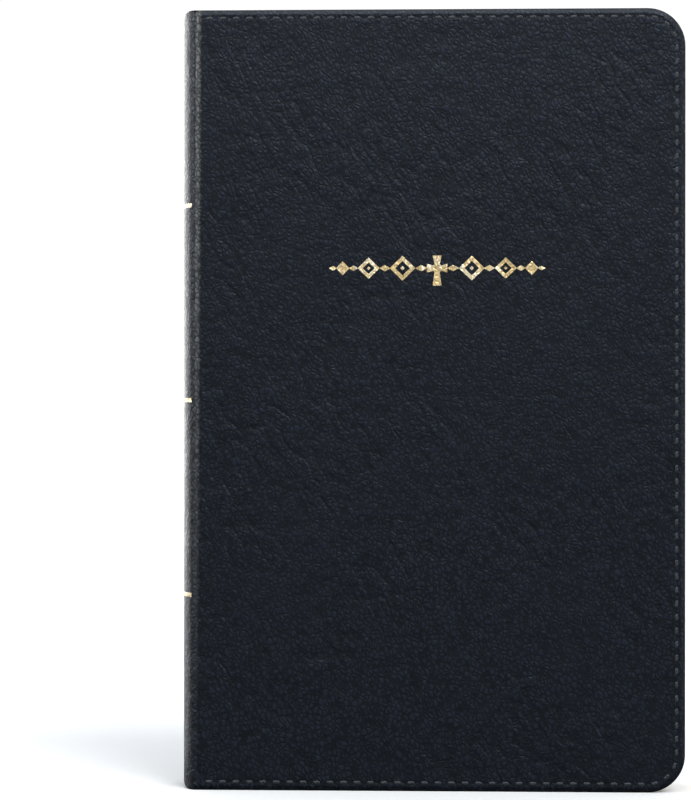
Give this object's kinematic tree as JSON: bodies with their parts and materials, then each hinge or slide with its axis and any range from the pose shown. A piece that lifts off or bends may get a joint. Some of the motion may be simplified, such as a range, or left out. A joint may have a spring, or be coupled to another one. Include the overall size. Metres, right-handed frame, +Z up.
{
  "type": "bible",
  "caption": "Closed leather-bound Bible standing on its tail edge, with opening covers, turning leaves, foil ornament, stitched edges, head bands and a ribbon marker.",
  "frame": {"origin": "on the surface that the book stands on, under the centre of the closed book", "axes": "+Z up the height of the book from tail to head; +X from the spine to the fore-edge; the front cover faces -Y"},
  "size_m": [0.14, 0.024, 0.217],
  "materials": {
    "cover_leather": "dark navy-black pebbled leather, satin",
    "thread": "slate-blue waxed thread",
    "gold_foil": "pale gold foil stamping, speckled",
    "board": "grey-brown binder's board",
    "endpaper": "near-black endpaper with a leather grain",
    "page_paper": "thin cream Bible paper",
    "mull": "open-weave starched cotton",
    "lining_paper": "brown kraft lining",
    "headband": "striped woven band",
    "ribbon": "dark satin ribbon"
  },
  "bodies": {
    "spine": {"spine_leather": "cover_leather", "spine_inlay": "board", "mull_cloth": "mull", "spine_lining": "lining_paper", "head_band": "headband", "tail_band": "headband", "spine_rule_lower": "gold_foil", "spine_rule_middle": "gold_foil", "spine_rule_upper": "gold_foil", "spine_ornament": "gold_foil"},
    "front_pages": {"front_section_01": "page_paper", "front_section_02": "page_paper", "front_section_03": "page_paper", "front_section_04": "page_paper", "front_section_05": "page_paper", "front_section_06": "page_paper", "front_section_07": "page_paper", "front_section_08": "page_paper", "front_section_09": "page_paper", "front_section_10": "page_paper"},
    "back_pages": {"back_section_01": "page_paper", "back_section_02": "page_paper", "back_section_03": "page_paper", "back_section_04": "page_paper", "back_section_05": "page_paper", "back_section_06": "page_paper", "back_section_07": "page_paper", "back_section_08": "page_paper", "back_section_09": "page_paper", "back_section_10": "page_paper"},
    "front_cover": {"front_cover_leather": "cover_leather", "front_cover_stitching": "thread", "front_cover_board": "board", "front_pastedown": "endpaper", "front_foil_ornament": "gold_foil"},
    "back_cover": {"back_cover_leather": "cover_leather", "back_cover_stitching": "thread", "back_cover_board": "board", "back_pastedown": "endpaper"},
    "front_endleaf": {"front_flyleaf": "endpaper"},
    "back_endleaf": {"back_flyleaf": "endpaper"},
    "front_middle_leaf": {"front_centre_leaf": "page_paper"},
    "back_middle_leaf": {"back_centre_leaf": "page_paper"},
    "ribbon": {"ribbon_marker": "ribbon"}
  },
  "joints": [
    {"name": "front_pages_open", "type": "hinge", "parent": "spine", "child": "front_pages", "pos_m": [-0.0662, -0.012, 0.1085], "axis": [0, 0, -1], "range_deg": [0, 90]},
    {"name": "back_pages_open", "type": "hinge", "parent": "spine", "child": "back_pages", "pos_m": [-0.0662, 0.012, 0.1085], "axis": [0, 0, 1], "range_deg": [0, 90]},
    {"name": "front_cover_open", "type": "hinge", "parent": "front_pages", "child": "front_cover", "pos_m": [-0.0662, -0.012, 0.1085], "axis": [0, 0, 1], "range_deg": [-178, 0]},
    {"name": "back_cover_open", "type": "hinge", "parent": "back_pages", "child": "back_cover", "pos_m": [-0.0662, 0.012, 0.1085], "axis": [0, 0, -1], "range_deg": [-178, 0]},
    {"name": "front_flyleaf_turn", "type": "hinge", "parent": "front_pages", "child": "front_endleaf", "pos_m": [-0.0656, -0.0103, 0.1085], "axis": [0, 0, 1], "range_deg": [-89, 0]},
    {"name": "back_flyleaf_turn", "type": "hinge", "parent": "back_pages", "child": "back_endleaf", "pos_m": [-0.0656, 0.0103, 0.1085], "axis": [0, 0, -1], "range_deg": [-89, 0]},
    {"name": "front_centre_leaf_turn", "type": "hinge", "parent": "spine", "child": "front_middle_leaf", "pos_m": [-0.0662, -0.012, 0.1085], "axis": [0, 0, -1], "range_deg": [0, 60]},
    {"name": "back_centre_leaf_turn", "type": "hinge", "parent": "spine", "child": "back_middle_leaf", "pos_m": [-0.0662, 0.012, 0.1085], "axis": [0, 0, 1], "range_deg": [0, 60]},
    {"name": "ribbon_swing", "type": "hinge", "parent": "spine", "child": "ribbon", "pos_m": [-0.0664, 0, 0.21], "axis": [0, 1, 0], "range_deg": [-25, 0]}
  ],
  "couplings": [
    {"joint": "front_flyleaf_turn", "follows": "front_cover_open", "ratio": 0.5},
    {"joint": "back_flyleaf_turn", "follows": "back_cover_open", "ratio": 0.5},
    {"joint": "front_centre_leaf_turn", "follows": "front_pages_open", "ratio": 0.6666},
    {"joint": "back_centre_leaf_turn", "follows": "back_pages_open", "ratio": 0.6666}
  ]
}
